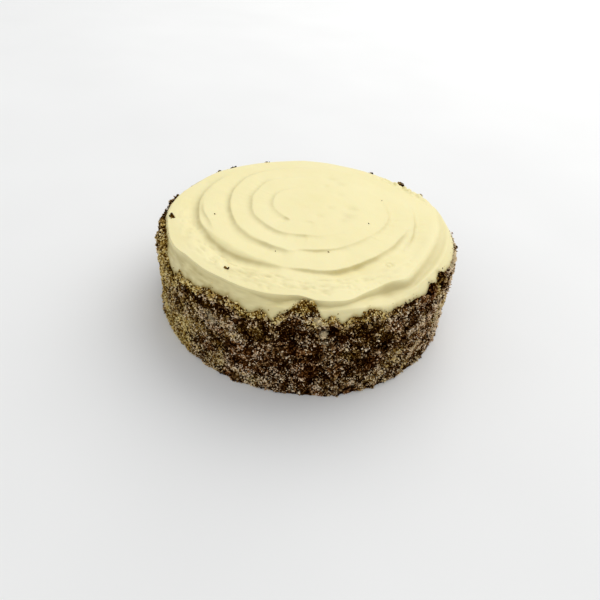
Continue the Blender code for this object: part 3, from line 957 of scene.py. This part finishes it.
def cream_material():
    looks = Looks("cream_icing")
    where = looks.add("NewGeometry")["Position"]
    # Along and across the spatula's sweep: radius and turn about the swirl's centre
    centre = (*((SWIRL_CENTRE + FOOT_CENTRE + TOP_SHIFT) * MM), 0)
    local = looks.add("VectorMath", {"operation": "SUBTRACT"}, _0=where, _1=centre)[0]
    x, y, z = looks.add("SeparateXYZ", Vector=local)
    level = looks.add("CombineXYZ", X=x, Y=y)[0]
    radius = looks.add("VectorMath", {"operation": "LENGTH"}, _0=level)["Value"]
    turn = looks.math("MULTIPLY", looks.math("ARCTAN2", y, x), 0.012)
    streaks = looks.noise(looks.add("CombineXYZ", X=radius, Y=turn, Z=z)[0], 900.0, 3.0, 0.55)
    grain = looks.noise(where, 1500.0, 3.0, 0.6)
    colour = looks.ramp(looks.noise(where, 28.0, 3.0, 0.5), (0.3, 0.52, 0.75), CREAM_COLOURS)
    # Painted shade: darker and warmer in the creases of the strokes, dents and ring mark, on the shoulder's
    # step and apron, and just above the crumb line
    deep = looks.math("MULTIPLY", looks.attribute("crease"), 0.12, True)
    normal = looks.bump(grain, 0.25, 0.0001, Normal=looks.bump(streaks, 0.35, 0.00018))
    return looks.finish(
        Base_Color=looks.mix(deep, colour, PAINTED_SHADE_COLOUR), Roughness=looks.spread(grain, 0.42, 0.58),
        Normal=normal, Specular_IOR_Level=0.35, Subsurface_Weight=0.12, Subsurface_Radius=(1.0, 0.7, 0.35),
        Subsurface_Scale=0.0008,
    )


def crumb_colour(looks, tone, golden, where):
    """Crumb colour for a tone from 0 to 1: brown or rusty, or golden where the golden attribute says so."""
    share = looks.spread(looks.plus(golden, looks.noise(where, 170.0, 2.0, 0.6), 1.4), low=0.75, high=1.5)
    rusty = looks.spread(looks.plus(looks.noise(where, 95.0, 3.0, 0.6), golden, -0.2), low=0.5, high=0.66)
    brown, rust, gold = (looks.ramp(tone, TONES, colours) for colours in (BROWN, RUST, GOLD))
    return looks.mix(share, looks.mix(rusty, brown, rust), gold)


def crumb_material(name, darkest, palest, scale=1400.0, bump=0.5):
    """Matt crumb, each grain with a tone of its own between two, and fine mottling."""
    looks = Looks(name)
    geometry = looks.add("NewGeometry")
    where = geometry["Position"]
    mottle = looks.noise(where, scale, 4.0, 0.65)
    golden = looks.attribute("golden")
    own = looks.spread(geometry["Random Per Island"], darkest - 0.3, palest - 0.3)
    tone = looks.plus(looks.plus(own, mottle, 0.6), golden, 0.1)
    # The shade attribute brings painted shade between lumps and painted light in the pale side patches
    tone = looks.plus(tone, looks.attribute("shade"), SHADE_WEIGHT)
    return looks.finish(
        Base_Color=crumb_colour(looks, tone, golden, where), Roughness=looks.spread(mottle, 0.8, 1.0),
        Normal=looks.bump(mottle, bump, 0.0003), Specular_IOR_Level=0.0,
    )


def core_material():
    """Grains pressed together, with painted shade that makes the gaps between them nearly black and the
    hollows darker than the raised places, and cream smeared over some.
    """
    looks = Looks("crumb_core")
    where = looks.add("NewGeometry")["Position"]
    golden = looks.attribute("golden")
    mottle = looks.noise(where, 800.0, 4.0, 0.75)
    cells = looks.add("TexVoronoi", Vector=where, Scale=1000.0)
    own = looks.add("SeparateColor", Color=cells["Color"])[0]
    # Painted shade: nearly black at the cells' edges, the gaps between grains, and paler on raised places
    # than in hollows
    inside = looks.spread(cells["Distance"], 0.25, 1.0, 0.62, 0.22)
    tone = looks.plus(looks.plus(mottle, looks.attribute("relief"), 0.35), own, 0.7)
    # The shade attribute brings painted shade between lumps and painted light in the pale side patches
    tone = looks.plus(looks.plus(tone, golden, 0.16), looks.attribute("shade"), SHADE_WEIGHT)
    tone = looks.math("MULTIPLY", looks.math("SUBTRACT", tone, 0.48), inside)
    covered = looks.spread(looks.plus(looks.attribute("smear"), mottle, 1.2), low=0.9, high=1.5)
    return looks.finish(
        Base_Color=looks.mix(covered, crumb_colour(looks, tone, golden, where), SMEAR_COLOUR),
        Roughness=looks.spread(mottle, 0.8, 1.0), Normal=looks.bump(inside, 0.8, 0.0004),
        Specular_IOR_Level=0.0,
    )


def proud(place):
    """How far a place stands out from the coat's mean face, in millimetres."""
    return np.hypot(place[:, 0], place[:, 1]) - coat_radius(place[:, 2])


def bare(place):
    return 1 - 0.95 * smear_share(place)


# Painted shade: dark grains gather in the coat's hollows, and paler kinds where it stands out
def dark_share(place):
    dark = 0.8 - 0.6 * noise(place, 5, 81, 2) - 0.5 * golden_share(place) - 0.3 * proud(place)
    return np.clip(dark - 0.6 * shade_share(place), 0.05, 1) * bare(place)


def brown_share(place):
    return np.clip(0.6 + 0.6 * noise(place, 9, 71, 2) + 0.15 * proud(place), 0.1, 1) * bare(place)


def gold_share(place):
    more = 0.6 * golden_share(place) + 0.4 * shade_share(place)
    return np.clip(0.4 + more + 0.6 * noise(place, 6, 87, 2) + 0.2 * proud(place), 0, 1) * bare(place)


def pale_share(place):
    paler = 0.5 * np.minimum(shade_share(place), 0) + 0.4 * smear_share(place)
    return np.clip(0.4 + 1.1 * noise(place, 5, 85, 2) + 0.2 * proud(place) + paler, 0, 1)


# Kinds of loose crumb: name, how many, how far they stand out as a share of their size, their radius, how
# likely one is at a place, and their darkest and palest tone
KINDS = (
    ("crumbs_dark", 13000, (-0.2, 0.6), (0.34, 0.92), dark_share, (0.0, 0.3)),
    ("crumbs_brown", 12000, (-0.1, 0.7), (0.32, 0.85), brown_share, (0.3, 0.72)),
    ("crumbs_golden", 11500, (0.0, 0.8), (0.3, 0.78), gold_share, (0.6, 0.98)),
    ("crumbs_pale", 12500, (0.1, 0.9), (0.28, 0.68), pale_share, (0.8, 1.1)),
)
CLUMP_TONES = (0.05, 0.95)
# Clumps: how many, grains in each, reach, and between which shares of the way down the coat
CLUMPS = ((125, 24, (1.1, 2.3), (0, 0.06)), (205, 22, (0.9, 1.7), (0.06, 1.0)))
STRAGGLERS = (480, (0.15, 0.42))  # how many, and their radius


def stray_crumbs():
    angle, radius, size = np.array(STRAYS).T
    x, y = polar(radius, angle)
    centres = to_world(x, y, top_height(x, y)[0] + size * 0.3)
    material = crumb_material("stray_crumbs", 0.05, 0.35, 900.0, 0.8)
    return crumbs_piece("stray_crumbs", centres, size, 1, 0.55, material)


def build_cake():
    cream = cream_piece(cream_material())
    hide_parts("iced_cake")
    grid, raised = coat_grid()
    core = core_piece(grid, raised, core_material())
    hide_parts("crumb_coat")
    pieces = [core]
    for name, count, lift, sizes, keep, tones in KINDS:
        centres, size = scattered(grid, count, lift, sizes, keep)
        pieces.append(crumbs_piece(name, centres, size, None, 0.6, crumb_material(name, *tones)))
    heaps = [clumps(grid, *kind) for kind in CLUMPS] + [stragglers(*STRAGGLERS)]
    centres, size = (np.concatenate(parts) for parts in zip(*heaps))
    material = crumb_material("crumb_clumps", *CLUMP_TONES)
    pieces += [crumbs_piece("crumb_clumps", centres, size, 0, 0.5, material), stray_crumbs()]
    for piece in [cream, *pieces]:
        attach(piece, "root")


def build_floor():
    looks = Looks("floor")
    where = looks.add("NewGeometry")["Position"]
    colour = looks.ramp(looks.noise(where, 6.0), (0.3, 0.7), ((0.85, 0.85, 0.845), (0.88, 0.88, 0.875)))
    material = looks.finish(Base_Color=colour, Roughness=0.8, Specular_IOR_Level=0.2)
    rings = [np.zeros((1, 3)), *(ring_of(radius, whole_turn(96)) for radius in (0.5, 6.0))]
    mesh_object("floor", np.concatenate(rings), faces_between(rings), material)


def build_light():
    angle, elevation, distance = math.radians(58), math.radians(50), 2.0
    level = math.cos(elevation)
    way = Vector((math.cos(angle) * level, math.sin(angle) * level, math.sin(elevation)))
    data = bpy.data.lights.new("key", "AREA")
    data.shape = "DISK"
    data.size = 2.4
    data.energy = 23.0
    data.color = (1.0, 0.985, 0.96)
    lamp = bpy.data.objects.new("key", data)
    lamp.location = way * distance
    lamp.rotation_mode = "QUATERNION"
    lamp.rotation_quaternion = (-way).to_track_quat("-Z", "Y")
    scene = bpy.context.scene
    scene.collection.objects.link(lamp)
    scene.world = bpy.data.worlds.new("studio")
    scene.world.use_nodes = True
    background = scene.world.node_tree.nodes["Background"]
    background.inputs["Color"].default_value = (0.97, 0.985, 1.0, 1)
    background.inputs["Strength"].default_value = 0.71
    scene.view_settings.view_transform = "Standard"
    scene.view_settings.look = "None"


def build_camera():
    """The camera looks from the front at the middle of the foot, then turns about its own axes a little.

    Its angles, in radians, and its distance, in metres, were fitted to the photograph.
    """
    elevation, distance, pan, tilt, roll = 0.68024, 0.39019, 0.00118, -0.01884, 0.11911
    target = Vector((FOOT_CENTRE[0] * MM, FOOT_CENTRE[1] * MM, 0))
    back = Vector((0, -math.cos(elevation), math.sin(elevation)))
    pose = Matrix.Translation(target + back * distance)
    for turn, axis in ((math.pi / 2 - elevation, "X"), (pan, "Y"), (tilt, "X"), (roll, "Z")):
        pose = pose @ Matrix.Rotation(turn, 4, axis)
    data = bpy.data.cameras.new("camera")
    data.sensor_width = 36.0
    data.lens = 32.4
    data.clip_start = 0.02
    data.clip_end = 30.0
    camera = bpy.data.objects.new("camera", data)
    camera.matrix_world = pose
    bpy.context.scene.collection.objects.link(camera)
    bpy.context.scene.camera = camera


build_cake()
build_floor()
build_light()
build_camera()
